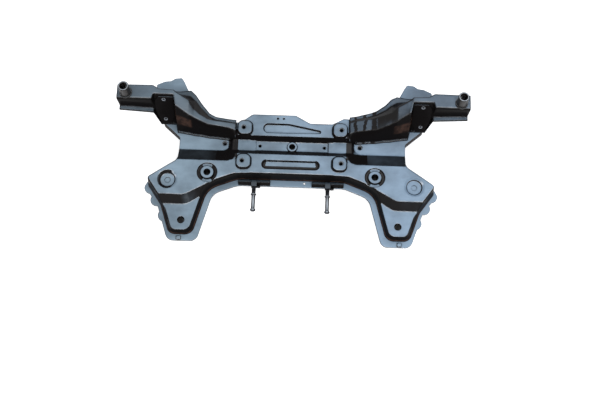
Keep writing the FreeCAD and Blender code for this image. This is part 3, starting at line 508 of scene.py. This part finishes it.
def dress_panels():
    """The two panels, the lower one with a stronger painted sky reflection on its flange."""
    for node, name, strength in (
        ("upper_panel", "pressed_panel", 1.0),
        ("lower_panel", "pressed_flange", 1.25),
    ):
        sheet = painted_sheet(
            name, bend=4.5 * MM, reflection_range=PANEL_REFLECTION, strength=strength, shift=panel_painted_light_and_shade, tint=seam_tint
        )
        paint([node], sheet)


def dress_horns():
    upper = painted_sheet(
        "pressed_horn", bend=7.0 * MM, reflection_range=HORN_REFLECTION, strength=0.48, shift=horn_rib_shade, tint=seam_tint
    )
    paint(HORNS, upper)
    paint(HORN_UNDERS, painted_sheet("pressed_apron", bend=4.0 * MM, reflection_range=PANEL_REFLECTION))
    plate = painted_sheet("gusset", bend=4.0 * MM, reflection_range=GUSSET_REFLECTION, strength=0.3, tint=ring_tint)
    paint(GUSSETS, plate)


def dress_small_parts():
    paint(COLLARS, painted_sheet("collar", bend=0.8 * MM, reflection_range=COLLAR_REFLECTION))
    paint(TUBES, worn_steel("mount_tube", TUBE_BLACK, metallic=0.3, roughness=0.3, lit_top_from=0.95))
    paint(NUTS, worn_steel("weld_nut", NUT_GREY, metallic=0.4, roughness=0.4))


# Clamp brackets on the rear flange, each with a bar whose rear face slopes

BAR_HALF = 43.0 * MM
BAR_SECTION = [(-8.5, 0.0), (5.0, 0.0), (5.0, 8.0), (4.0, 9.0), (-1.5, 9.0)]
CLAMP_HALF = 7.5 * MM
CLAMP_SECTION = [(-15.0, 0.0), (4.0, 0.0), (4.0, 12.0), (3.0, 13.0), (-14.0, 13.0), (-15.0, 12.0)]
STUB_SECTION = [(-15.0, 0.0), (-9.0, 0.0), (-9.0, 7.0), (-15.0, 11.0)]
STUB_END = 16.5 * MM
BRACKET_X = 98.5 * MM
BRACKET_Y = -68.0 * MM
BRACKET_ROUNDING = 0.6 * MM
FLANGE_TOP = 30.0 * MM


def prism(mesh, section, left, right):
    """Closed prism along X from a section in millimetres, counter-clockwise from the right."""
    ends = []
    for x in (left, right):
        ends.append([mesh.verts.new((x, y * MM, z * MM)) for y, z in section])
    count = len(section)
    for i in range(count):
        j = (i + 1) % count
        mesh.faces.new((ends[0][i], ends[0][j], ends[1][j], ends[1][i]))
    mesh.faces.new(list(reversed(ends[0])))
    mesh.faces.new(ends[1])


def link_piece(name, mesh, material):
    """Object from a finished mesh, with all its faces turned outwards."""
    bmesh.ops.recalc_face_normals(mesh, faces=mesh.faces)
    data = bpy.data.meshes.new(name)
    mesh.to_mesh(data)
    mesh.free()
    data.materials.append(material)
    piece = bpy.data.objects.new(name, data)
    bpy.context.collection.objects.link(piece)
    return piece


def hanger_bracket(name, side, material):
    """Clamp bar with the block and the stub that hold the hanger rod."""
    mesh = bmesh.new()
    prism(mesh, BAR_SECTION, -BAR_HALF, BAR_HALF)
    prism(mesh, CLAMP_SECTION, -CLAMP_HALF, CLAMP_HALF)
    prism(mesh, STUB_SECTION, CLAMP_HALF, STUB_END)
    piece = link_piece(name, mesh, material)
    piece.location = (side * BRACKET_X, BRACKET_Y + DATUM_Y, FLANGE_TOP)
    rounding = piece.modifiers.new("rounding", "BEVEL")
    rounding.width = BRACKET_ROUNDING
    rounding.segments = 3
    return piece


def add_brackets():
    material = painted_sheet("clamp_bracket", bend=0.8 * MM, reflection_range=BRACKET_REFLECTION, strength=0.2)
    for name, side in (("left", -1), ("right", 1)):
        piece = hanger_bracket(name + "_clamp_bracket", side, material)
        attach(piece, "root")
        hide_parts(name + "_hanger_bracket")


# Hanger rods behind the brackets, each with a collar and a flared tip. The rises are
# (place, height over the rod) in millimetres, from the collar's middle and the rod's end.

ROD_RADIUS = 5.3 * MM
ROD_SIDES = 32
COLLAR_SHARE = 0.3
COLLAR_RISE = [(-2.4, 0.0), (-1.4, 1.7), (-0.8, 2.3), (0.8, 2.3), (1.4, 1.7), (2.4, 0.0)]
TIP_RISE = [(-8.5, 0.0), (-7.0, 1.3), (-6.0, 2.1), (-3.0, 2.1), (-1.2, 0.6), (0.0, -1.9)]


def rod_stations(length):
    """Distance behind the bracket and radius, from the bracket to the tip."""
    stations = [(0.0, ROD_RADIUS)]
    for middle, rises in ((COLLAR_SHARE * length, COLLAR_RISE), (length, TIP_RISE)):
        for place, rise in rises:
            stations.append((middle + place * MM, ROD_RADIUS + rise * MM))
    return stations


def turned_rod(name, node, material):
    """Rod turned about the axis of the node that it stands for."""
    low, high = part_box(node)
    middle = (low + high) / 2
    mesh = bmesh.new()
    rings = []
    for behind, radius in rod_stations(high.y - low.y):
        ring = []
        for i in range(ROD_SIDES):
            angle = math.tau * i / ROD_SIDES
            x = middle.x + radius * math.cos(angle)
            z = middle.z + radius * math.sin(angle)
            ring.append(mesh.verts.new((x, high.y - behind, z)))
        rings.append(ring)
    for near, far in zip(rings, rings[1:]):
        for i in range(ROD_SIDES):
            j = (i + 1) % ROD_SIDES
            side = mesh.faces.new((near[i], near[j], far[j], far[i]))
            side.smooth = True
    mesh.faces.new(rings[0])
    mesh.faces.new(rings[-1])
    return link_piece(name, mesh, material)


def add_rods():
    material = worn_steel("turned_rod", ROD_GREY, metallic=0.3, roughness=0.3, lit_top_from=0.8)
    for node in RODS:
        piece = turned_rod(node.replace("hanger", "turned"), node, material)
        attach(piece, "root")
        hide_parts(node)


# Photograph's camera

LOOK_X = 22.0 * MM
LOOK_Y = -128.0 * MM
LOOK_Z = 75.0 * MM
TURN = math.radians(2.04)
ELEVATION = math.radians(72.0)
DISTANCE = 2500.0 * MM
SENSOR = 36.0
FOCAL_WIDTHS = 1.59


def set_camera():
    """Camera behind and above the subframe; its focal length is in widths of the picture."""
    across = Vector((math.cos(TURN), math.sin(TURN), 0))
    ahead = Vector((-math.sin(TURN), math.cos(TURN), 0))
    target = across * LOOK_X + ahead * LOOK_Y + Vector((0, DATUM_Y, LOOK_Z))
    sight = ahead * math.cos(ELEVATION) + Vector((0, 0, -math.sin(ELEVATION)))
    data = bpy.data.cameras.new("camera")
    data.sensor_width = SENSOR
    data.sensor_fit = "HORIZONTAL"
    data.lens = SENSOR * FOCAL_WIDTHS
    camera = bpy.data.objects.new("camera", data)
    camera.location = target - sight * DISTANCE
    camera.rotation_euler = sight.to_track_quat("-Z", "Y").to_euler()
    bpy.context.collection.objects.link(camera)
    bpy.context.scene.camera = camera


# Light and floor

SKY_LOW = (0.315, 0.3075, 0.315, 1)
SKY_HIGH = (0.7125, 0.75, 0.81, 1)
SKY_RISE = (0.0, 0.85)
FLOOR_DARKER = (0.86, 0.86, 0.86, 1)
FLOOR_LIGHTER = (0.88, 0.88, 0.88, 1)
FLOOR_SIZE = 12.0
FLOOR_DROP = 0.5 * MM
FLOOR_LIFT = 0.68


def add_lamp(name, place, size, power, colour):
    """Soft rectangular lamp that faces the origin."""
    data = bpy.data.lights.new(name, "AREA")
    data.shape = "RECTANGLE"
    data.size, data.size_y = size
    data.energy = power
    data.color = colour
    lamp = bpy.data.objects.new(name, data)
    lamp.location = place
    lamp.rotation_euler = (-Vector(place)).to_track_quat("-Z", "Y").to_euler()
    bpy.context.collection.objects.link(lamp)


def seen_directly(tree):
    """1 for rays from the camera and through gloss or glass, 0 for scattered light."""
    path = tree.add("ShaderNodeLightPath")
    shiny = tree.most(path.outputs["Is Glossy Ray"], path.outputs["Is Transmission Ray"])
    return tree.most(path.outputs["Is Camera Ray"], shiny)


def set_world():
    """Soft sky, brightest overhead and darker towards the horizon, that is seen as white."""
    world = bpy.data.worlds.new("sky")
    bpy.context.scene.world = world
    tree = Tree(world)
    direction = tree.add("ShaderNodeTexCoord").outputs["Generated"]
    light = tree.mix(tree.ramp(tree.part(direction, "Z"), *SKY_RISE), SKY_LOW, SKY_HIGH)
    background = tree.add("ShaderNodeBackground")
    tree.join(tree.mix(seen_directly(tree), light, WHITE), background.inputs["Color"])
    tree.show(background, "ShaderNodeOutputWorld")


def set_floor():
    """White floor that keeps the object's shadow."""
    bpy.ops.mesh.primitive_plane_add(size=FLOOR_SIZE, location=(0, 0, -FLOOR_DROP))
    floor = bpy.context.object
    floor.name = "floor"
    material = bpy.data.materials.new("floor_white")
    tree = Tree(material)
    shader = tree.add("ShaderNodeBsdfPrincipled")
    shade = tree.mix(tree.noise(waves=3.0, detail=2.0), FLOOR_DARKER, FLOOR_LIGHTER)
    tree.join(shade, shader.inputs["Base Color"])
    shader.inputs["Roughness"].default_value = 0.9
    shader.inputs["Specular IOR Level"].default_value = 0.0
    shader.inputs["Emission Color"].default_value = WHITE
    lift = tree.times(seen_directly(tree), FLOOR_LIFT)
    tree.join(lift, shader.inputs["Emission Strength"])
    tree.show(shader)
    floor.data.materials.append(material)


def set_light():
    bpy.context.scene.view_settings.view_transform = "Standard"
    set_world()
    set_floor()
    add_lamp(
        "rear_strip", place=(0.2, -1.8, 2.0), size=(2.6, 0.22), power=30.0, colour=(1.0, 0.99, 0.97)
    )
    add_lamp(
        "overhead", place=(0.7, 0.7, 2.8), size=(2.0, 1.6), power=20.0, colour=(0.96, 0.98, 1.0)
    )


dress_panels()
dress_horns()
dress_small_parts()
add_brackets()
add_rods()
set_camera()
set_light()
